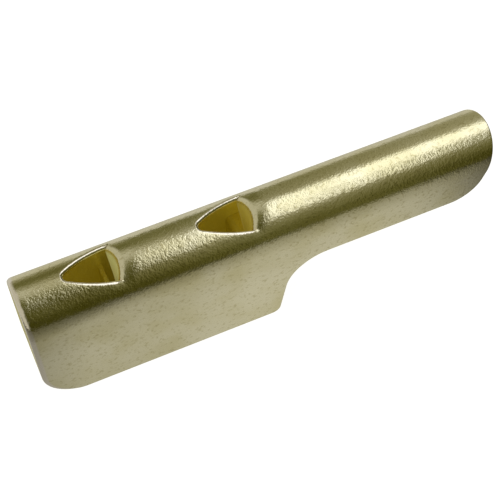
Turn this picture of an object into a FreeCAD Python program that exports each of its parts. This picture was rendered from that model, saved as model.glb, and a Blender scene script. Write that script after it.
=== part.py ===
import FreeCAD, Part
import math
import os

# A pea-less two-note whistle pressed from thin brass sheet.
#
# One sheet is folded into a U: a half-round crown on top and two flat flanks hanging from it.
# The flanks are deep at the tail, where the two sound chambers are, and shallow at the mouthpiece.
# Two V-shaped tabs are lanced out of the crown and folded down into the bore, one per chamber.
# A bent strip closes the tail, the underside and the mouthpiece. Three more strips inside split
# the breath into an upper and a lower windway and part the chambers. Soft solder holds them.
#
# Units are millimetres. +X runs from the tail to the mouthpiece, +Y across, +Z up.
# Lengths in the outlines are measured from the tail end and from the underside. The finished
# shapes are then moved so that the origin is under the middle of the whistle, on its underside.

# Driving dimensions
SHEET = 0.45                   # thickness of all the brass
WIDTH = 8.0                    # across the flanks, outside
LENGTH = 55.2                  # tail end to the tip of the crown
DEPTH = 17.3                   # crown top to the underside of the chambers
MOUTH_DEPTH = 7.9              # crown top to the underside of the mouthpiece
FIT_GAP = 0.03                 # play between an inner strip and the bore wall

TAIL_CORNER_R = 4.85           # rounded lower corner at the tail
STEP_X = 28.4                  # where the deep underside would meet the riser of the step
STEP_LEAN = 9.6                # degrees the riser leans towards the mouthpiece
STEP_LOW_R = 1.1               # convex bend at the foot of the riser
STEP_HIGH_R = 5.1              # concave bend from the riser into the mouthpiece
NOSE_LEAN = 18.8               # degrees the mouth end leans forward, going up
NOSE_R = 4.0                   # large radius under the mouth end

WINDOW_LENGTH = 5.0            # V window, blunt apex to tab root, along X
WINDOW_HALF_WIDTH = 2.55       # half the opening across, at the root
APEX_HALF_WIDTH = 0.4          # the blunt apex of the V
WINDOW_ROOTS = (10.35, 25.55)  # tab roots of the rear and front windows
TAB_RAKE = 5.0                 # degrees the folded tab leans back from upright
TAB_BEND_R = 1.0               # outside radius where a tab folds down from the crown
TAB_LENGTH = 5.7               # crown top to tab tip

FLOOR_BELOW_TIP = 0.15         # the windway floors pass just under the tab tips
BEND_R = 0.8                   # outside radius of the bends in the inner strips
LOWER_DUCT = 1.8               # clear height of the lower windway under the front chamber
DIVIDER_X = 13.4               # front face of the upright that parts the two chambers
WALL_SETBACK = 0.5             # upright walls stand this far behind the tab roots
REAR_FOOT = 2.2                # foot of the rear wall, soldered to the closing strip
TRAY_LIP = 0.45                # the front chamber's floor runs this far past its front wall
STRIP_END_X = 49.2             # where the closing strip ends, behind the open mouth
FLOOR_END_X = 52.0             # where the front windway floor ends, inside the mouth
SEAM_LEG = 0.3                 # legs of the triangular solder fillets

# Worked-out sizes
RADIUS = WIDTH / 2
BORE_R = RADIUS - SHEET
AXIS_Z = DEPTH - RADIUS                      # height of the crown's axis
STEP_Z = DEPTH - MOUTH_DEPTH                 # height of the mouthpiece underside
FLOOR_Z = DEPTH - TAB_LENGTH - FLOOR_BELOW_TIP
TRAY_Z = SHEET + LOWER_DUCT + SHEET          # top face of the front chamber's floor
REAR_WALL_X = WINDOW_ROOTS[0] - WALL_SETBACK + SHEET
FRONT_WALL_X = WINDOW_ROOTS[1] - WALL_SETBACK
STEP_TOP_X = STEP_X + STEP_Z * math.tan(math.radians(STEP_LEAN))
NOSE_CORNER_X = LENGTH - MOUTH_DEPTH * math.tan(math.radians(NOSE_LEAN))
CLEAR = 5.0                                  # how far cutting shapes run past what they cut


# ---- outlines -------------------------------------------------------------------------------

def rounded_edges(corners, place, closed=True):
    """Edges of a path through corners (u, v, radius), each corner rounded by its radius."""
    count = len(corners)
    ends = []
    for i, (u, v, radius) in enumerate(corners):
        here = FreeCAD.Vector(u, v, 0)
        if radius == 0:
            ends.append((here, None, here))
            continue
        before, after = corners[i - 1], corners[(i + 1) % count]
        back = (FreeCAD.Vector(before[0], before[1], 0) - here).normalize()
        ahead = (FreeCAD.Vector(after[0], after[1], 0) - here).normalize()
        half = back.getAngle(ahead) / 2
        reach = radius / math.tan(half)
        inward = (back + ahead).normalize()
        crest = here + inward * (radius / math.sin(half) - radius)
        ends.append((here + back * reach, crest, here + ahead * reach))
    edges = []
    for i, (start, crest, end) in enumerate(ends):
        if crest is not None:
            edges.append(Part.Arc(place(start), place(crest), place(end)).toShape())
        if i + 1 < count or closed:
            following = ends[(i + 1) % count][0]
            edges.append(Part.makeLine(place(end), place(following)))
    return edges


def side_on(point):
    """Put an outline point (x, z) on the plane y = 0."""
    return FreeCAD.Vector(point.x, 0, point.y)


def plan_on(point):
    """Put an outline point (x, y) on the plane z = AXIS_Z."""
    return FreeCAD.Vector(point.x, point.y, AXIS_Z)


def end_on(point):
    """Put an outline point (y, z) on the plane x = 0."""
    return FreeCAD.Vector(0, point.x, point.y)


def prism(corners, place, start, sweep):
    """Solid swept from a closed outline, shifted by start, along sweep."""
    face = Part.Face(Part.Wire(rounded_edges(corners, place)))
    face.translate(start)
    return face.extrude(sweep)


def side_prism(corners, half_width):
    """Solid with a side outline (x, z, radius), centred across the whistle."""
    start = FreeCAD.Vector(0, -half_width, 0)
    return prism(corners, side_on, start, FreeCAD.Vector(0, 2 * half_width, 0))


def offset_corners(path, distance):
    """The path (x, z, radius) moved to its left by distance, with its radii following."""
    moved = []
    last = len(path) - 1
    for i, (x, z, radius) in enumerate(path):
        here = FreeCAD.Vector(x, z, 0)
        before = FreeCAD.Vector(path[max(i - 1, 0)][0], path[max(i - 1, 0)][1], 0)
        after = FreeCAD.Vector(path[min(i + 1, last)][0], path[min(i + 1, last)][1], 0)
        arrive = (here - before).normalize() if i > 0 else (after - here).normalize()
        leave = (after - here).normalize() if i < last else arrive
        turn = arrive.x * leave.y - arrive.y * leave.x
        left = FreeCAD.Vector(-(arrive.y + leave.y), arrive.x + leave.x, 0).normalize()
        miter = distance / (left.x * -arrive.y + left.y * arrive.x)
        spot = here + left * miter
        side = 1 if turn > 0 else -1
        moved.append((spot.x, spot.y, radius - side * distance if radius else 0))
    return moved


def bent_strip(path, gap=FIT_GAP):
    """A strip of sheet whose right-hand face follows the path, clipped to the bore less a gap."""
    outline = path + offset_corners(path, SHEET)[::-1]
    return side_prism(outline, WIDTH).common(bore(gap))


# ---- the U section and the side outline -----------------------------------------------------

def u_bar(radius, bottom):
    """Full-length bar with a half-round top, for the outside or the bore of the shell."""
    start = FreeCAD.Vector(-CLEAR, 0, 0)
    sweep = FreeCAD.Vector(LENGTH + 2 * CLEAR, 0, 0)
    left = FreeCAD.Vector(0, -radius, AXIS_Z)
    right = FreeCAD.Vector(0, radius, AXIS_Z)
    top = FreeCAD.Vector(0, 0, AXIS_Z + radius)
    corners = [right, FreeCAD.Vector(0, radius, bottom), FreeCAD.Vector(0, -radius, bottom), left]
    lines = [Part.makeLine(a, b) for a, b in zip(corners, corners[1:])]
    arch = Part.Arc(left, top, right).toShape()
    face = Part.Face(Part.Wire(lines + [arch]))
    face.translate(start)
    return face.extrude(sweep)


def bore(gap):
    """Inside of the shell, made smaller all round by gap."""
    return u_bar(BORE_R - gap, -CLEAR)


def underside_path(end_x):
    """Tail end, rounded corner, chamber underside, step and mouthpiece underside.

    The flanks are cut to this path, and the closing strip is bent to it, so they end flush.
    """
    return [
        (0, DEPTH + CLEAR, 0),
        (0, 0, TAIL_CORNER_R),
        (STEP_X, 0, STEP_LOW_R),
        (STEP_TOP_X, STEP_Z, STEP_HIGH_R),
        (end_x, STEP_Z, 0),
    ]


def side_outline():
    """The whole whistle seen from the side, open above the crown."""
    over = CLEAR * math.tan(math.radians(NOSE_LEAN))
    path = underside_path(NOSE_CORNER_X)[:-1]
    return path + [(NOSE_CORNER_X, STEP_Z, NOSE_R), (LENGTH + over, DEPTH + CLEAR, 0)]


# ---- body shell -----------------------------------------------------------------------------

def window_notch(root_x):
    """V-shaped cutter through the crown, running on to where the tab's bend is tangent."""
    apex_x = root_x - WINDOW_LENGTH
    bend_end = root_x + TAB_BEND_R
    corners = [
        (apex_x, -APEX_HALF_WIDTH, 0),
        (root_x, -WINDOW_HALF_WIDTH, 0),
        (bend_end, -WINDOW_HALF_WIDTH, 0),
        (bend_end, WINDOW_HALF_WIDTH, 0),
        (root_x, WINDOW_HALF_WIDTH, 0),
        (apex_x, APEX_HALF_WIDTH, 0),
    ]
    return prism(corners, plan_on, FreeCAD.Vector(0, 0, 0), FreeCAD.Vector(0, 0, RADIUS + CLEAR))


def domed_plug(root_x, inset):
    """Round bar with a raked end face, its end edge rounded, made smaller by inset."""
    radius = RADIUS - inset
    axis = FreeCAD.Vector(root_x - CLEAR, 0, AXIS_Z)
    bar = Part.makeCylinder(radius, 2 * CLEAR, axis, FreeCAD.Vector(1, 0, 0))
    cutter = Part.makeBox(2 * CLEAR, 4 * RADIUS, 8 * RADIUS)
    cutter.translate(FreeCAD.Vector(-2 * CLEAR, -2 * RADIUS, -4 * RADIUS))
    cutter.rotate(FreeCAD.Vector(0, 0, 0), FreeCAD.Vector(0, 1, 0), TAB_RAKE)
    normal_reach = inset / math.cos(math.radians(TAB_RAKE))
    cutter.translate(FreeCAD.Vector(root_x + normal_reach, 0, DEPTH))
    plug = bar.cut(cutter)
    rim = min(plug.Faces, key=lambda face: face.CenterOfMass.x).OuterWire.Edges
    return plug.makeFillet(TAB_BEND_R - inset, rim)


def folded_tab(root_x):
    """The V tab of a window, folded down into the bore, with its rounded root."""
    crust = domed_plug(root_x, 0).cut(domed_plug(root_x, SHEET))
    corner_z = AXIS_Z + math.sqrt(RADIUS ** 2 - WINDOW_HALF_WIDTH ** 2)
    tip_z = DEPTH - TAB_LENGTH
    corners = [
        (-WINDOW_HALF_WIDTH, DEPTH + CLEAR, 0),
        (-WINDOW_HALF_WIDTH, corner_z, 0),
        (-APEX_HALF_WIDTH, tip_z, 0),
        (APEX_HALF_WIDTH, tip_z, 0),
        (WINDOW_HALF_WIDTH, corner_z, 0),
        (WINDOW_HALF_WIDTH, DEPTH + CLEAR, 0),
    ]
    start = FreeCAD.Vector(root_x - RADIUS, 0, 0)
    sweep = FreeCAD.Vector(RADIUS + TAB_BEND_R, 0, 0)
    return crust.common(prism(corners, end_on, start, sweep))


def body_shell():
    """The folded sheet with its two windows and their tabs."""
    shell = u_bar(RADIUS, 0).cut(bore(0)).common(side_prism(side_outline(), WIDTH))
    for root_x in WINDOW_ROOTS:
        shell = shell.cut(window_notch(root_x)).fuse(folded_tab(root_x))
    return shell.removeSplitter()


# ---- strips inside the shell ----------------------------------------------------------------

def front_floor_path():
    """Front windway floor: back from the mouth, then down as the front chamber's wall."""
    return [(FLOOR_END_X, FLOOR_Z, 0), (FRONT_WALL_X, FLOOR_Z, BEND_R), (FRONT_WALL_X, TRAY_Z, 0)]


def divider_path():
    """Chamber divider: floor of the front chamber, then up to the crown between the chambers."""
    tray_end = FRONT_WALL_X + SHEET + TRAY_LIP
    return [(tray_end, TRAY_Z, 0), (DIVIDER_X, TRAY_Z, BEND_R), (DIVIDER_X, DEPTH + CLEAR, 0)]


def rear_wall_path():
    """Rear chamber wall: a foot on the closing strip, then up to just under the rear tab."""
    foot_end = REAR_WALL_X - REAR_FOOT
    return [(foot_end, SHEET, 0), (REAR_WALL_X, SHEET, BEND_R), (REAR_WALL_X, FLOOR_Z, 0)]


# ---- solder ---------------------------------------------------------------------------------

def solder_fillet(path, side):
    """Triangular fillet between the bore wall on one side and the face that path follows."""
    wall = side * BORE_R
    spine = Part.Wire(rounded_edges(path, side_on, closed=False))
    spine.translate(FreeCAD.Vector(0, wall, 0))
    start = FreeCAD.Vector(path[0][0], wall, path[0][1])
    step = FreeCAD.Vector(path[1][0] - path[0][0], 0, path[1][1] - path[0][1]).normalize()
    left = FreeCAD.Vector(-step.z, 0, step.x)
    across = start + FreeCAD.Vector(0, -side * SEAM_LEG, 0)
    up = start + left * SEAM_LEG
    section = Part.makePolygon([start, across, up, start])
    return spine.makePipeShell([section], True, False)


def closing_seams():
    """Fillets along both edges of the closing strip, parted by the rear wall's foot."""
    path = [(0, AXIS_Z, 0)] + underside_path(STRIP_END_X)[1:]
    inner = offset_corners(path, SHEET)
    seams = Part.makeCompound([solder_fillet(inner, side) for side in (-1, 1)])
    return Part.makeCompound(seams.cut(bent_strip(rear_wall_path(), gap=0)).Solids)


def inner_seams():
    """Fillets under the front windway floor and on the front chamber's floor."""
    floor_under = [(FRONT_WALL_X + BEND_R, FLOOR_Z - SHEET, 0), (FLOOR_END_X, FLOOR_Z - SHEET, 0)]
    tray_top = [(DIVIDER_X + BEND_R, TRAY_Z, 0), (FRONT_WALL_X, TRAY_Z, 0)]
    seams = []
    for side in (-1, 1):
        seams.append(solder_fillet(floor_under[::-1], side))
        seams.append(solder_fillet(tray_top, side))
    return Part.makeCompound(seams)


# ---- write the parts ------------------------------------------------------------------------

def build():
    """Every piece of the whistle, by node name."""
    return {
        "body_shell": body_shell(),
        "closing_strip": bent_strip(underside_path(STRIP_END_X)),
        "front_windway_floor": bent_strip(front_floor_path()),
        "chamber_divider": bent_strip(divider_path()),
        "rear_chamber_wall": bent_strip(rear_wall_path()),
        "closing_strip_solder": closing_seams(),
        "inner_solder": inner_seams(),
    }


os.makedirs("parts", exist_ok=True)
for name, shape in build().items():
    shape.translate(FreeCAD.Vector(-LENGTH / 2, 0, 0))
    shape.exportStep(f"parts/{name}.step")
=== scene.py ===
import math

import bmesh
import bpy
import numpy as np
from mathutils import Matrix, Vector
from mathutils.geometry import delaunay_2d_cdt


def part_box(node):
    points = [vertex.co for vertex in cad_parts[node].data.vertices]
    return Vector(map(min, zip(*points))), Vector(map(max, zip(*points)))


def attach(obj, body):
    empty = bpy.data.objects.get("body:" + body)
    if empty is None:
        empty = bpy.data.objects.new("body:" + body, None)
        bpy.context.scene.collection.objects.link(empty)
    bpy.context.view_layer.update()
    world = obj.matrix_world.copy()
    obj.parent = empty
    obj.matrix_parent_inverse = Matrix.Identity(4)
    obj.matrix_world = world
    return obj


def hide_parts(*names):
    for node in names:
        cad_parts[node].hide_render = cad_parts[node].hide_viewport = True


# Looks for a pea-less two-note whistle folded from thin brass sheet.
#
# The body shell is rebuilt here as one fine mesh, because a stamped sheet shows rolled-over
# window edges and bent tab roots that the CAD solid keeps sharp. It is made on the unrolled
# sheet: x runs along the whistle and s round the section, from the crown's top line, negative
# on the -Y side. All lengths below are millimetres until a mesh is written.

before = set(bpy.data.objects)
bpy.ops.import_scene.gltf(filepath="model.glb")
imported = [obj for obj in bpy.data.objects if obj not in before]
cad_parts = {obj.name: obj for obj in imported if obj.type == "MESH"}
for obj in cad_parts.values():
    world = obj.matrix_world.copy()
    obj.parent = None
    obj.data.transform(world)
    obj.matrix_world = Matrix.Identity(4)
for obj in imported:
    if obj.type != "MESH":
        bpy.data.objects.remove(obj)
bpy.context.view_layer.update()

MM = 0.001

# ---- sizes, from the CAD boxes and the sheet design -------------------------------------------


def box_mm(node):
    lo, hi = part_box(node)
    return lo / MM, hi / MM


shell_lo, shell_hi = box_mm("body_shell")
front_floor_lo = box_mm("front_windway_floor")[0]
rear_wall_hi = box_mm("rear_chamber_wall")[1]

R = shell_hi.y
TOP = shell_hi.z
AXIS_Z = TOP - R
TAIL_X = shell_lo.x
MOUTH_X = shell_hi.x
QUARTER = math.pi * R / 2

SHEET = 0.45
WALL_SETBACK = 0.5              # from a tab's bend line to the strip below it
STEP_X = TAIL_X + 28.4          # foot of the step between the deep part and the mouthpiece
STEP_Z = TOP - 7.9              # lower edge of the mouthpiece's flank
STEP_LEAN = math.tan(math.radians(9.6))
NOSE_LEAN = math.tan(math.radians(18.8))
TAIL_CORNER_R, STEP_LOW_R, STEP_HIGH_R, NOSE_R = 4.85, 1.1, 5.1, 4.0

# bend lines of the rear and front tabs, along the whistle
ROOTS = (rear_wall_hi.x + WALL_SETBACK - SHEET, front_floor_lo.x + WALL_SETBACK)
WINDOW_LENGTH = 4.85            # bend line to blunt apex
WINDOW_HALF = 2.52              # half the width at the bend, round the sheet
WINDOW_BULGE = 0.3              # how far the cut sides bow outwards
WINDOW_SHOULDER = 0.5           # the full width starts this far past the bend line
SHOULDER_R = 2.2
APEX_HALF = 0.36
APEX_R = 0.35
BEND_R = 1.0
FOLD = math.radians(85.0)
BEND_REACH = BEND_R * math.tan(FOLD / 2)
HINGE_BOW = 0.8                 # the hinge line bows towards the mouth
DISH_DEPTH = 0.12               # the crown is drawn down a little round each hinge
DISH_REACH = 1.5
DISH_SLOPE = math.atan(2 * DISH_DEPTH / DISH_REACH)

EDGE_ROLL, TAIL_EDGE_ROLL = 0.14, 0.50      # rolled width of the cut edges, and what the tail adds
EDGE_DEPTH, TAIL_EDGE_DEPTH = 0.12, 0.29    # rolled depth, likewise
RIM_ROLL, RIM_DEPTH = 0.38, 0.31            # rolled window rims
RIM_SWELL_REACH = 0.9                       # a rim grows to full width over this length
ROLL_RINGS, BURR_RINGS = 7, 3
BURR = 0.03

GRID = 0.34                     # mesh spacing on the crown and flanks
TAB_GRID = 0.22
TAB_CLEAR = 0.1                 # inner mesh points keep this far from a tab's edge
HINGE_POINTS = 26
EDGE_STEP = 0.2
CHAIN_STEP = 0.12
ARC_STEP = 0.05
OUTLINE_STEP = 0.02
SLIVER = 1e-6                   # triangles smaller than this, in mm2, are dropped
WELD = 0.003                    # points closer than this are one
CHUNK = 4000                    # points tested at a time
TAB_LIT = (1.0, 0.15)           # how much of the rear and front tab's own glow shows


# ---- the unrolled sheet ------------------------------------------------------------------------

def sheet_points(x, s):
    """Outer face of the folded sheet, slightly dished where the tabs bend down."""
    a = np.clip(np.abs(s), 0, QUARTER) / R
    down = np.maximum(np.abs(s) - QUARTER, 0)
    for root in ROOTS:
        down = down + dish(root, x, s)
    return np.stack([x, np.sign(s) * R * np.sin(a), AXIS_Z + R * np.cos(a) - down], 1)


def dish(root, x, s):
    """How far the crown is drawn down round a tab's hinge line."""
    ahead = x - hinge_x(root, s)
    aside = np.maximum(np.abs(s) - WINDOW_HALF, 0)
    gap = np.hypot(ahead, aside)
    return DISH_DEPTH * np.clip(1 - gap / DISH_REACH, 0, 1) ** 2


def sheet_normals(x, s):
    a = np.clip(s, -QUARTER, QUARTER) / R
    return np.stack([np.zeros_like(a), np.sin(a), np.cos(a)], 1)


def main_surface(xs, depth):
    x, s = xs[:, 0], xs[:, 1]
    return sheet_points(x, s) - sheet_normals(x, s) * np.reshape(depth, (-1, 1))


def hinge_x(root, s):
    """Where the tab's bend starts, along the whistle."""
    w = s / WINDOW_HALF
    return root + BEND_REACH + HINGE_BOW * np.clip(1 - w * w, 0, 1)


def tab_outer(root, x, s):
    """Outer face of a tab folded down out of the sheet, by its place on the flat sheet."""
    hinge = hinge_x(root, s)
    travel = np.maximum(hinge - x, 0)
    bend_length = 2 * BEND_REACH
    turn = DISH_SLOPE + (FOLD - DISH_SLOPE) * np.clip(travel / bend_length, 0, 1)
    rest = np.maximum(travel - bend_length, 0)
    back = BEND_R * (np.sin(turn) - math.sin(DISH_SLOPE)) + math.cos(FOLD) * rest
    down = BEND_R * (math.cos(DISH_SLOPE) - np.cos(turn)) + math.sin(FOLD) * rest
    base = sheet_points(hinge, s)
    return base - np.outer(down, [0, 0, 1]) - np.outer(back, [1, 0, 0])


def tab_surface(root):
    def surface(xs, depth):
        step = 1e-3
        x, s = xs[:, 0], xs[:, 1]
        here = tab_outer(root, x, s)
        along = here - tab_outer(root, x - step, s)
        across = tab_outer(root, x, s + step) - tab_outer(root, x, s - step)
        normal = np.cross(along, across)
        normal /= np.linalg.norm(normal, axis=1)[:, None]
        # at the hinge line the thickness runs as it does in the crown, so the two faces meet
        share = np.clip((hinge_x(root, s) - x) / BEND_R, 0, 1)[:, None]
        normal = share * normal + (1 - share) * sheet_normals(x, s)
        normal /= np.linalg.norm(normal, axis=1)[:, None]
        return here - normal * np.reshape(depth, (-1, 1))
    return surface


# ---- outlines ----------------------------------------------------------------------------------

def rounded_path(corners, closed=False):
    """Points along a path through corners (u, v, radius), finely sampled."""
    points = []
    count = len(corners)
    for i, (u, v, radius) in enumerate(corners):
        here = np.array([u, v], float)
        if radius == 0 or (not closed and i in (0, count - 1)):
            points.append(here)
            continue
        back = np.array(corners[i - 1][:2], float) - here
        ahead = np.array(corners[(i + 1) % count][:2], float) - here
        back /= np.linalg.norm(back)
        ahead /= np.linalg.norm(ahead)
        half = math.acos(np.clip(back @ ahead, -1, 1)) / 2
        reach = radius / math.tan(half)
        centre = here + (back + ahead) / np.linalg.norm(back + ahead) * radius / math.sin(half)
        start, end = here + back * reach - centre, here + ahead * reach - centre
        sweep = math.pi - 2 * half
        turn = math.copysign(1, start[0] * end[1] - start[1] * end[0])
        for t in np.linspace(0, 1, max(6, int(sweep * radius / ARC_STEP))):
            c, q = math.cos(turn * sweep * t), math.sin(turn * sweep * t)
            points.append(centre + np.array([c * start[0] - q * start[1], q * start[0] + c * start[1]]))
    return np.array(points)


def resample(points, step):
    """The same polyline with even steps, both ends kept."""
    lengths = np.r_[0, np.cumsum(np.linalg.norm(np.diff(points, axis=0), axis=1))]
    count = max(3, int(round(lengths[-1] / step)) + 1)
    at = np.linspace(0, lengths[-1], count)
    return np.stack([np.interp(at, lengths, points[:, k]) for k in (0, 1)], 1)


def subdivide(points, step):
    pieces = [resample(np.array([a, b]), step)[:-1] for a, b in zip(points, points[1:])]
    return np.concatenate(pieces + [points[-1:]])


def girth(z):
    """Distance round the sheet from the crown's top line down to height z."""
    up = np.clip((z - AXIS_Z) / R, 0, 1)
    return np.where(z > AXIS_Z, R * np.arccos(up), QUARTER + AXIS_Z - z)


def sheet_outline():
    """Edge of the unrolled sheet as one closed loop."""
    nose_corner = MOUTH_X - (TOP - STEP_Z) * NOSE_LEAN
    side = rounded_path([
        (TAIL_X, TOP, 0),
        (TAIL_X, 0, TAIL_CORNER_R),
        (STEP_X, 0, STEP_LOW_R),
        (STEP_X + STEP_Z * STEP_LEAN, STEP_Z, STEP_HIGH_R),
        (nose_corner, STEP_Z, NOSE_R),
        (MOUTH_X, TOP, 0),
    ])
    side = subdivide(side, OUTLINE_STEP)
    half = resample(np.stack([side[:, 0], girth(side[:, 1])], 1), EDGE_STEP)
    mirrored = half[::-1][1:-1] * [1, -1]
    return np.concatenate([half, mirrored])


def window_chain(root):
    """Cut edge of a window, from the -Y slit end round the blunt apex to the +Y slit end."""
    apex, shoulder = root - WINDOW_LENGTH, root + WINDOW_SHOULDER
    half = rounded_path([
        (root + BEND_REACH, -WINDOW_HALF, 0),
        (shoulder, -WINDOW_HALF, SHOULDER_R),
        (apex, -APEX_HALF, APEX_R),
        (apex, 0, 0),
    ])
    chain = subdivide(np.concatenate([half, half[::-1][1:] * [1, -1]]), ARC_STEP)
    along = np.clip((chain[:, 0] - apex) / (shoulder - apex), 0, 1)
    chain[:, 1] += np.sign(chain[:, 1]) * WINDOW_BULGE * 4 * along * (1 - along)
    return resample(chain, CHAIN_STEP)


def outward(loop, closed=True):
    """Unit normals of a polyline, to the right of its direction."""
    if closed:
        tangent = np.roll(loop, -1, 0) - np.roll(loop, 1, 0)
    else:
        tangent = np.gradient(loop, axis=0)
    normal = np.stack([tangent[:, 1], -tangent[:, 0]], 1)
    return normal / np.linalg.norm(normal, axis=1)[:, None]


def area(loop):
    x, y = loop[:, 0], loop[:, 1]
    return 0.5 * float(np.sum(x * np.roll(y, -1) - np.roll(x, -1) * y))


def inside(points, loop):
    """Even-odd test of many points against one closed loop."""
    a, b = loop, np.roll(loop, -1, 0)
    result = np.zeros(len(points), bool)
    for start in range(0, len(points), CHUNK):
        p = points[start:start + CHUNK]
        y = p[:, 1:2]
        spans = (a[:, 1] > y) != (b[:, 1] > y)
        rise = np.where(b[:, 1] == a[:, 1], 1e-12, b[:, 1] - a[:, 1])
        cross = a[:, 0] + (y - a[:, 1]) / rise * (b[:, 0] - a[:, 0])
        result[start:start + CHUNK] = (np.sum(spans & (p[:, 0:1] < cross), 1) % 2) == 1
    return result


def distance_to(points, loop):
    a, b = loop, np.roll(loop, -1, 0)
    best = np.full(len(points), 1e9)
    for start in range(0, len(points), CHUNK):
        p = points[start:start + CHUNK, None]
        d = b - a
        t = np.clip(np.sum((p - a) * d, 2) / (np.sum(d * d, 1) + 1e-12), 0, 1)
        gap = np.linalg.norm(p - a - t[..., None] * d, axis=2)
        best[start:start + CHUNK] = gap.min(1)
    return best


def triangulate(outer, holes, spots):
    """Triangles of the region inside outer and outside holes, through the extra spots."""
    loops = [outer] + holes
    points = np.concatenate(loops + [spots])
    edges, first = [], 0
    for loop in loops:
        n = len(loop)
        edges += [(first + i, first + (i + 1) % n) for i in range(n)]
        first += n
    result = delaunay_2d_cdt([Vector(p) for p in points], edges, [], 0, 1e-7, True)
    verts = np.array([tuple(v) for v in result[0]])
    origin = [min(o) if o else -1 for o in result[3]]
    if min(origin) < 0 or len(set(origin)) != len(points):
        raise RuntimeError("the sheet outline crosses itself")
    faces = np.array([f for f in result[2] if len(f) == 3])
    corners = verts[faces]
    middle = corners.mean(1)
    leg, other_leg = corners[:, 1] - corners[:, 0], corners[:, 2] - corners[:, 0]
    size = np.abs(leg[:, 0] * other_leg[:, 1] - leg[:, 1] * other_leg[:, 0]) / 2
    keep = inside(middle, outer) & (size > SLIVER)
    for hole in holes:
        keep &= ~inside(middle, hole)
    return points, np.array(origin)[faces[keep]]


def grid_spots(outer, holes, step, clear):
    lo, hi = outer.min(0), outer.max(0)
    spots = []
    xs = np.arange(lo[0], hi[0], step * 0.87)
    for k, x in enumerate(xs):
        ys = np.arange(lo[1] + (step / 2 if k % 2 else 0), hi[1], step)
        spots.append(np.stack([np.full_like(ys, x), ys], 1))
    spots = np.concatenate(spots)
    spots = spots[inside(spots, outer)]
    spots = spots[distance_to(spots, outer) > clear]
    for hole in holes:
        spots = spots[~inside(spots, hole)]
        spots = spots[distance_to(spots, hole) > clear]
    return spots


# ---- the shell mesh ----------------------------------------------------------------------------

def rim_rings(roll, depth):
    """Rings of a cut edge, as (inset, depth): rolled over outside, nearly sharp inside."""
    rings = []
    for turn in np.linspace(0, math.pi / 2, ROLL_RINGS):
        rings.append((roll * (1 - math.sin(turn)), depth * (1 - math.cos(turn))))
    for turn in np.linspace(0, math.pi / 2, BURR_RINGS):
        rings.append((BURR * (1 - math.cos(turn)), SHEET - BURR * (1 - math.sin(turn))))
    return rings


def flat_inset(loop, normals, inset):
    return loop - normals * np.reshape(inset, (-1, 1))


class Sheet:
    """Collects vertices and faces of the shell, with masks for its cut edges and its inside."""

    def __init__(self):
        self.points, self.faces = [], []
        self.masks = {"rim": [], "bore": [], "tab": []}
        self.count = 0

    def add(self, points, rim=0.0, bore=0.0, tab=0.0):
        start = self.count
        self.points.append(points)
        for name, value in (("rim", rim), ("bore", bore), ("tab", tab)):
            self.masks[name].append(np.broadcast_to(value, len(points)))
        self.count += len(points)
        return start

    def skin(self, surface, loops, spots, shade, lit):
        """Outer and inner faces of one region. Returns the first index of each."""
        points, triangles = triangulate(loops[0], loops[1:], spots)
        round_bend = shade(points)
        outer = self.add(surface(points, 0.0), bore=round_bend, tab=round_bend * lit)
        inner = self.add(surface(points, SHEET), bore=1.0)
        self.faces += [tuple(outer + t) for t in triangles]
        self.faces += [tuple(inner + t[::-1]) for t in triangles]
        return outer, inner

    def edge(self, surface, loop, normals, rings, outer_ids, inner_ids, closed, tab=0.0):
        """Strips that close the cut edge between the outer and inner faces."""
        previous = outer_ids
        count = len(loop)
        for k, (inset, depth) in enumerate(rings[1:], 1):
            if k == len(rings) - 1:
                current = inner_ids
            else:
                ring = surface(flat_inset(loop, normals, inset), np.broadcast_to(depth, count))
                start = self.add(ring, rim=1.0, tab=tab)
                current = np.arange(start, start + count)
            for i in range(count if closed else count - 1):
                j = (i + 1) % count
                self.faces.append((previous[i], previous[j], current[j], current[i]))
            previous = current


def on_crown(points):
    return np.zeros(len(points))


def on_tab(root):
    """How far a point of the flat sheet is round the tab's bend, 0 to 1."""
    def shade(points):
        travel = hinge_x(root, points[:, 1]) - points[:, 0]
        return np.clip((travel - BEND_REACH) / BEND_REACH, 0, 1)
    return shade


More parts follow.
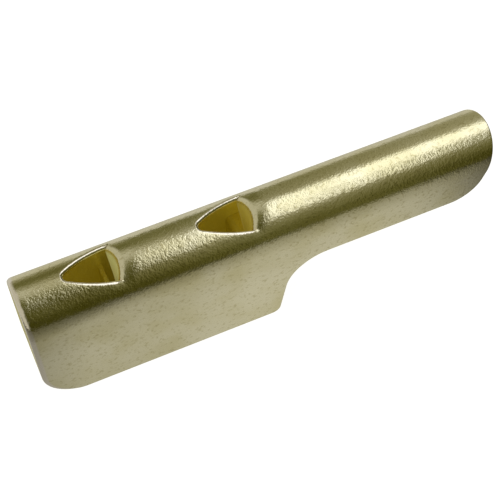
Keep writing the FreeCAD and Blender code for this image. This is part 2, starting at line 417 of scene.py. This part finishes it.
def build_shell():
    sheet = Sheet()
    outline = sheet_outline()
    if area(outline) < 0:
        outline = outline[::-1]
    out_normals = outward(outline)
    # the tail edge is well rounded, the other edges are only deburred
    tailness = np.clip(1 - (outline[:, 0] - TAIL_X) / TAIL_CORNER_R * 1.3, 0, 1) ** 0.7
    edge_rings = rim_rings(EDGE_ROLL + TAIL_EDGE_ROLL * tailness,
                           EDGE_DEPTH + TAIL_EDGE_DEPTH * tailness)
    edge_inset = flat_inset(outline, out_normals, edge_rings[0][0])

    windows = []
    for root in ROOTS:
        chain = window_chain(root)
        order = np.arange(len(chain))
        from_end = np.minimum(order, order[::-1]) * CHAIN_STEP
        swell = np.clip(from_end / RIM_SWELL_REACH, 0, 1)
        swell = swell * swell * (3 - 2 * swell)
        rings = rim_rings(RIM_ROLL * swell, RIM_DEPTH)
        rings = [(inset * swell if k >= ROLL_RINGS else inset, depth)
                 for k, (inset, depth) in enumerate(rings)]
        normals = outward(chain, closed=False)
        middle = np.array([root - WINDOW_LENGTH / 2, 0])
        if np.sum((middle - chain) * normals) < 0:
            normals = -normals
        across = np.linspace(chain[-1, 1], chain[0, 1], HINGE_POINTS)[1:-1]
        hinge = np.stack([hinge_x(root, across), across], 1)
        windows.append((root, chain, normals, rings, hinge))
    holes = [np.concatenate([flat_inset(chain, normals, rings[0][0]), hinge])
             for root, chain, normals, rings, hinge in windows]

    spots = grid_spots(edge_inset, holes, GRID, GRID * 0.45)
    outer, inner = sheet.skin(main_surface, [edge_inset] + holes, spots, on_crown, 0.0)
    ids = np.arange(len(edge_inset))
    sheet.edge(main_surface, outline, out_normals, edge_rings, outer + ids, inner + ids, True)
    offset = len(edge_inset)
    for (root, chain, normals, rings, hinge), hole, lit in zip(windows, holes, TAB_LIT):
        ids = offset + np.arange(len(chain))
        sheet.edge(main_surface, chain, normals, rings, outer + ids, inner + ids, False)
        offset += len(hole)
        # the tab, cut along the same line
        loop = np.concatenate([flat_inset(chain, -normals, rings[0][0]), hinge])
        surface = tab_surface(root)
        spots = grid_spots(loop, [], TAB_GRID, TAB_CLEAR)
        tab_outer_face, tab_inner_face = sheet.skin(surface, [loop], spots, on_tab(root), lit)
        ids = np.arange(len(chain))
        sheet.edge(surface, chain, -normals, rings, tab_outer_face + ids, tab_inner_face + ids,
                   False, on_tab(root)(chain))

    mesh = bpy.data.meshes.new("body_shell_skin")
    points = np.concatenate(sheet.points) * MM
    faces = [tuple(int(i) for i in face) for face in sheet.faces]
    mesh.from_pydata([tuple(p) for p in points], [], faces)
    for name, parts in sheet.masks.items():
        attribute = mesh.attributes.new(name, "FLOAT", "POINT")
        attribute.data.foreach_set("value", np.concatenate(parts).astype(np.float32))
    bm = bmesh.new()
    bm.from_mesh(mesh)
    bmesh.ops.remove_doubles(bm, verts=bm.verts, dist=WELD * MM)
    bmesh.ops.recalc_face_normals(bm, faces=bm.faces)
    bm.to_mesh(mesh)
    bm.free()
    for polygon in mesh.polygons:
        polygon.use_smooth = True
    obj = bpy.data.objects.new("body_shell_skin", mesh)
    bpy.context.scene.collection.objects.link(obj)
    return obj


# ---- materials ---------------------------------------------------------------------------------

class Nodes:
    """Short helper for building a node tree."""

    def __init__(self, tree):
        self.tree = tree
        tree.nodes.clear()

    def add(self, kind, **values):
        node = self.tree.nodes.new(kind)
        for key, value in values.items():
            if hasattr(node, key):
                setattr(node, key, value)
            else:
                self.put(node.inputs[key], value)
        return node

    def put(self, socket, value):
        if isinstance(value, bpy.types.NodeSocket):
            self.tree.links.new(value, socket)
        else:
            socket.default_value = value

    def math(self, operation, a, b=None, c=None):
        node = self.tree.nodes.new("ShaderNodeMath")
        node.operation = operation
        for socket, value in zip(node.inputs, (a, b, c)):
            if value is not None:
                self.put(socket, value)
        return node.outputs[0]

    def noise(self, vector, scale, detail=2.0, roughness=0.5):
        node = self.tree.nodes.new("ShaderNodeTexNoise")
        self.put(node.inputs["Vector"], vector)
        node.inputs["Scale"].default_value = scale
        node.inputs["Detail"].default_value = detail
        node.inputs["Roughness"].default_value = roughness
        return node.outputs["Fac"]

    def remap(self, value, a, b, c, d, smooth=False):
        node = self.tree.nodes.new("ShaderNodeMapRange")
        node.interpolation_type = "SMOOTHSTEP" if smooth else "LINEAR"
        for socket, v in zip(node.inputs, (value, a, b, c, d)):
            self.put(socket, v)
        return node.outputs[0]

    def mix(self, factor, a, b):
        node = self.tree.nodes.new("ShaderNodeMix")
        node.data_type = "RGBA"
        self.put(node.inputs[0], factor)
        self.put(node.inputs[6], a)
        self.put(node.inputs[7], b)
        return node.outputs[2]

    def ramp(self, value, stops):
        node = self.tree.nodes.new("ShaderNodeValToRGB")
        self.put(node.inputs[0], value)
        elements = node.color_ramp.elements
        while len(elements) < len(stops):
            elements.new(0.5)
        for element, (at, colour) in zip(elements, stops):
            element.position = at
            element.color = colour if len(colour) == 4 else (*colour, 1)
        return node.outputs[0]


TARNISH = (0.45, 0.39, 0.14, 1)
GLINT = (1.0, 0.97, 0.80, 1)
# painted highlight: every cut edge and window rim is painted near white
RIM_HIGHLIGHT_TINT = (1.0, 0.94, 0.84, 1)
# painted bounce light: the bore's deeper yellow stands in for light bouncing round inside
BORE_BOUNCE_TINT = (0.88, 0.83, 0.30, 1)
BORE_GLOW = (1.0, 0.74, 0.04, 1)
TAB_GLOW = (0.95, 1.0, 0.42, 1)
TAB_GLOW_STRENGTH = 0.10
BORE_GLOW_Z = (0.0125, 0.0165)      # metres above the underside: the bore's glow grows upwards


def brass(name, tint=(0.94, 0.90, 0.66), dull=(0.83, 0.78, 0.49), rough=0.13, grain=1.0,
          soft=0.0, glow=0.0):
    """Tumbled metal: cloudy tint, fine orange peel, painted highlights on the rims and a rougher bore
    painted deeper yellow for bounced light.

    The masks rim, bore and tab are the shell's point attributes. Soft gives the whole piece at
    least that share of the bore's dullness and painted bounce tint.
    """
    material = bpy.data.materials.new(name)
    material.use_nodes = True
    n = Nodes(material.node_tree)
    place = n.add("ShaderNodeTexCoord").outputs["Object"]
    cloud = n.noise(place, 160, 3)
    speck = n.noise(place, 2600, 2)
    fine = n.noise(place, 5200, 2)
    broad = n.noise(place, 420, 3)
    rim = n.add("ShaderNodeAttribute", attribute_name="rim").outputs["Fac"]
    bore = n.add("ShaderNodeAttribute", attribute_name="bore").outputs["Fac"]
    bore = n.math("MAXIMUM", bore, soft)
    colour = n.mix(n.remap(cloud, 0.35, 0.7, 0, 1, True), (*tint, 1), (*dull, 1))
    colour = n.mix(n.remap(speck, 0.56, 0.70, 0, 0.42), colour, TARNISH)
    colour = n.mix(n.remap(fine, 0.60, 0.74, 0, 0.40), colour, GLINT)
    # painted highlight along the rolled cut edges and window rims
    colour = n.mix(n.math("MULTIPLY", rim, 0.85), colour, RIM_HIGHLIGHT_TINT)
    # painted bounce light: the bore, the tab faces round their bends and, through soft, the strips are
    # painted deeper yellow
    colour = n.mix(n.math("MULTIPLY", bore, 0.8), colour, BORE_BOUNCE_TINT)
    roughness = n.math("ADD", n.remap(broad, 0.3, 0.7, rough - 0.03, rough + 0.04),
                       n.remap(speck, 0.4, 0.7, 0, 0.06))
    roughness = n.math("SUBTRACT", roughness, n.math("MULTIPLY", rim, 0.05))
    roughness = n.math("ADD", roughness, n.math("MULTIPLY", bore, 0.22))
    height = n.math("ADD", n.math("MULTIPLY", broad, 0.012 * grain),
                    n.math("ADD", n.math("MULTIPLY", speck, 0.0165 * grain),
                           n.math("MULTIPLY", fine, 0.0100 * grain)))
    bump = n.add("ShaderNodeBump", Strength=1.0, Distance=MM, Height=height)
    shader = n.add("ShaderNodeBsdfPrincipled")
    n.put(shader.inputs["Metallic"], n.remap(bore, 0, 1, 1.0, 0.65))
    n.put(shader.inputs["Base Color"], colour)
    n.put(shader.inputs["Roughness"], roughness)
    n.put(shader.inputs["Normal"], bump.outputs[0])
    height_in_bore = n.add("ShaderNodeSeparateXYZ", Vector=place).outputs["Z"]
    deep = n.remap(height_in_bore, *BORE_GLOW_Z, 0.8, 2.4)
    tab = n.add("ShaderNodeAttribute", attribute_name="tab").outputs["Fac"]
    n.put(shader.inputs["Emission Color"], n.mix(tab, BORE_GLOW, TAB_GLOW))
    # painted light: the bore and the tab faces glow though no lamp lights them
    strength = n.math("ADD", n.math("MULTIPLY", n.math("MULTIPLY", bore, deep), glow),
                      n.math("MULTIPLY", tab, TAB_GLOW_STRENGTH))
    n.put(shader.inputs["Emission Strength"], strength)
    out = n.add("ShaderNodeOutputMaterial")
    n.tree.links.new(shader.outputs[0], out.inputs[0])
    return material


def give(obj, material):
    obj.data.materials.clear()
    obj.data.materials.append(material)


shell_brass = brass("shell_brass", glow=0.05)
# the strips, all inside the shell, take most of the bore's painted bounce tint through soft
strip_brass = brass("strip_brass", tint=(0.84, 0.76, 0.38), dull=(0.70, 0.60, 0.26),
                    rough=0.30, soft=0.7)
solder_metal = brass("solder_metal", tint=(0.60, 0.59, 0.56), dull=(0.42, 0.41, 0.39),
                     rough=0.42, grain=2.0)

shell = build_shell()
give(shell, shell_brass)
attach(shell, "root")
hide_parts("body_shell")

for node_name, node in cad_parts.items():
    if "solder" in node_name:
        give(node, solder_metal)
    elif node_name != "body_shell":
        give(node, strip_brass)


# ---- floor, light and camera -------------------------------------------------------------------

FLOOR_HALF = 1.2                    # metres
FLOOR_DROP = 0.00002                # metres below the whistle, so the faces don't meet
GLOW_SPAN = 200                     # millimetres of floor, to each side, over which its glow varies
# glow strength by distance from the whistle's middle plane, in millimetres
NEAR_GLOW = ((8, 0.51), (13, 0.43), (26, 0.36), (52, 0.30), (110, 0.25), (200, 0.14))
FAR_GLOW = ((6, 0.50), (40, 0.53), (110, 0.54), (200, 0.48))
# how much of the near glow is left along the whistle, as shares of FADE_SPAN
FADE_SPAN = (-0.04, 0.06)           # metres
END_FADE = ((0.0, 0.45), (0.09, 0.58), (0.16, 0.82), (0.25, 0.88), (0.36, 1.0), (0.52, 1.0),
            (0.58, 0.90), (0.62, 0.73), (0.66, 0.45), (0.68, 0.33), (0.75, 0.25))
FADE_SKEW = 0.35                    # the faded ends lie further out, further off to the side


def warm(value):
    """Light of one strength. Dim light is yellower, as it has bounced off more brass."""
    green = 0.93 + 0.07 * min(value, 1)
    bounced = 1 - math.exp(-(value / 0.16) ** 1.3)
    return value, value * green, value * bounced * (0.80 + 0.20 * value ** 2)


def stage_floor():
    """Pale floor. The metal sees it as a glow that fades away from the whistle."""
    mesh = bpy.data.meshes.new("studio_floor")
    corners = [(a * FLOOR_HALF, b * FLOOR_HALF, 0) for a, b in ((-1, -1), (1, -1), (1, 1), (-1, 1))]
    mesh.from_pydata(corners, [], [(0, 1, 2, 3)])
    floor = bpy.data.objects.new("studio_floor", mesh)
    floor.location.z = -FLOOR_DROP
    bpy.context.scene.collection.objects.link(floor)
    material = bpy.data.materials.new("pale_floor")
    material.use_nodes = True
    n = Nodes(material.node_tree)
    path = n.add("ShaderNodeLightPath")
    geometry = n.add("ShaderNodeNewGeometry")
    place = n.add("ShaderNodeSeparateXYZ", Vector=geometry.outputs["Position"])
    x, y = place.outputs[:2]

    def glow_by_distance(distance, stops):
        share = n.math("DIVIDE", distance, GLOW_SPAN * MM)
        return n.ramp(share, [(at / GLOW_SPAN, warm(value)) for at, value in stops])

    near_side = glow_by_distance(n.math("MULTIPLY", y, -1.0), NEAR_GLOW)
    far_side = glow_by_distance(y, FAR_GLOW)
    beyond = n.math("GREATER_THAN", y, 0.0)
    glow = n.mix(beyond, near_side, far_side)
    along = n.math("MULTIPLY_ADD", y, FADE_SKEW, x)
    fade = n.ramp(n.remap(along, *FADE_SPAN, 0, 1), [(at, (value,) * 3) for at, value in END_FADE])
    fade = n.math("MAXIMUM", fade, beyond)
    seen_by_metal = n.add("ShaderNodeEmission", Color=glow, Strength=fade)
    matte = n.add("ShaderNodeBsdfDiffuse", Color=(0.45, 0.45, 0.45, 1))
    lift = n.add("ShaderNodeEmission", Color=(0.95, 0.95, 0.95, 1))
    seen_by_camera = n.add("ShaderNodeAddShader")
    n.tree.links.new(matte.outputs[0], seen_by_camera.inputs[0])
    n.tree.links.new(lift.outputs[0], seen_by_camera.inputs[1])
    top = n.add("ShaderNodeMixShader", Fac=path.outputs["Is Camera Ray"])
    n.tree.links.new(seen_by_metal.outputs[0], top.inputs[1])
    n.tree.links.new(seen_by_camera.outputs[0], top.inputs[2])
    clear = n.add("ShaderNodeBsdfTransparent")
    sided = n.add("ShaderNodeMixShader", Fac=geometry.outputs["Backfacing"])
    n.tree.links.new(top.outputs[0], sided.inputs[1])
    n.tree.links.new(clear.outputs[0], sided.inputs[2])
    out = n.add("ShaderNodeOutputMaterial")
    n.tree.links.new(sided.outputs[0], out.inputs[0])
    give(floor, material)


# Studio light, as (angle, strength): 0 at the -Y horizon, 90 overhead, 180 at the +Y horizon.
# The four bands follow one another by how far the direction leans towards the mouth.
TAIL_LIGHT = (
    (0, 0.035), (17, 0.03), (35, 0.045), (62, 0.05), (80, 0.07), (92, 0.11), (104, 0.25),
    (119, 0.38), (130, 0.24), (141, 0.13), (154, 0.08), (166, 0.14), (180, 0.26))
MIDDLE_LIGHT = (
    (0, 0.05), (17, 0.05), (28, 0.10), (46, 0.15), (64, 0.24), (76, 0.40), (88, 0.60),
    (104, 0.42), (118, 0.20), (134, 0.15), (148, 0.12), (165, 0.09), (180, 0.10))
MOUTHPIECE_LIGHT = (
    (0, 0.09), (17, 0.09), (36, 0.14), (54, 0.22), (60, 0.45), (65, 1.0), (114, 1.0),
    (119, 0.35), (130, 0.21), (148, 0.19), (163, 0.17), (180, 0.20))
MOUTH_END_LIGHT = (
    (0, 0.04), (17, 0.03), (37, 0.08), (56, 0.13), (79, 0.19), (86, 0.42), (91, 1.0),
    (118, 1.0), (124, 0.40), (132, 0.30), (153, 0.23), (166, 0.24), (180, 0.27))
BAND_BLENDS = ((0.07, 0.13), (0.16, 0.23), (0.30, 0.38))
# walls beyond the two ends, as (lean where they start, lean where they are full, strength)
END_WALLS = ((0.50, 0.70, 0.06), (-0.15, -0.50, 0.36))
STUDIO_STRENGTH = 1.3


def studio_world():
    """Soft studio light by direction: an overhead softbox, grey walls and a dark horizon."""
    world = bpy.data.worlds.new("studio")
    bpy.context.scene.world = world
    world.use_nodes = True
    n = Nodes(world.node_tree)
    direction = n.add("ShaderNodeTexCoord").outputs["Generated"]
    axis = n.add("ShaderNodeSeparateXYZ", Vector=direction)
    x, y, z = axis.outputs
    over = n.math("ARCTAN2", z, n.math("MULTIPLY", y, -1.0))
    share = n.math("DIVIDE", over, math.pi)

    tones = [n.ramp(share, [(angle / 180, warm(value)) for angle, value in band])
             for band in (TAIL_LIGHT, MIDDLE_LIGHT, MOUTHPIECE_LIGHT, MOUTH_END_LIGHT)]
    tone = tones[0]
    for (start, end), next_tone in zip(BAND_BLENDS, tones[1:]):
        tone = n.mix(n.remap(x, start, end, 0, 1), tone, next_tone)
    for start, end, value in END_WALLS:
        tone = n.mix(n.remap(x, start, end, 0, 1), tone, (*warm(value), 1))
    path = n.add("ShaderNodeLightPath")
    plain = n.add("ShaderNodeBackground", Color=(1, 1, 1, 1), Strength=1.0)
    lit = n.add("ShaderNodeBackground", Color=tone, Strength=STUDIO_STRENGTH)
    mix = n.add("ShaderNodeMixShader", Fac=path.outputs["Is Camera Ray"])
    n.tree.links.new(lit.outputs[0], mix.inputs[1])
    n.tree.links.new(plain.outputs[0], mix.inputs[2])
    out = n.add("ShaderNodeOutputWorld")
    n.tree.links.new(mix.outputs[0], out.inputs[0])


CAMERA_ELEVATION, CAMERA_SWING, CAMERA_TILT = 58.0, 22.3, 1.59     # degrees
CAMERA_DISTANCE = 142.6                     # millimetres
CAMERA_LENS = 91.6                          # millimetres
AIM = (-0.6, 0, 9.3)                        # millimetres
AIM_RIGHT, AIM_UP = -0.47, -0.46            # the picture's centre lies this far from the aim


def studio_camera():
    elevation, swing, tilt = (math.radians(a) for a in (CAMERA_ELEVATION, CAMERA_SWING, CAMERA_TILT))
    back = Vector((-math.sin(swing) * math.cos(elevation), -math.cos(swing) * math.cos(elevation),
                   math.sin(elevation)))
    right = Vector((math.cos(swing), -math.sin(swing), 0))
    up = back.cross(right)
    x_axis = right * math.cos(tilt) - up * math.sin(tilt)
    y_axis = right * math.sin(tilt) + up * math.cos(tilt)
    looked_at = Vector(AIM) + x_axis * AIM_RIGHT + y_axis * AIM_UP
    location = (looked_at + back * CAMERA_DISTANCE) * MM
    data = bpy.data.cameras.new("camera")
    data.sensor_width = 36.0
    data.lens = CAMERA_LENS
    data.clip_start = 0.01
    camera = bpy.data.objects.new("camera", data)
    rotation = Matrix((x_axis, y_axis, back)).transposed()
    camera.matrix_world = Matrix.Translation(location) @ rotation.to_4x4()
    bpy.context.scene.collection.objects.link(camera)
    bpy.context.scene.camera = camera


stage_floor()
studio_world()
studio_camera()
bpy.context.scene.view_settings.view_transform = "Standard"
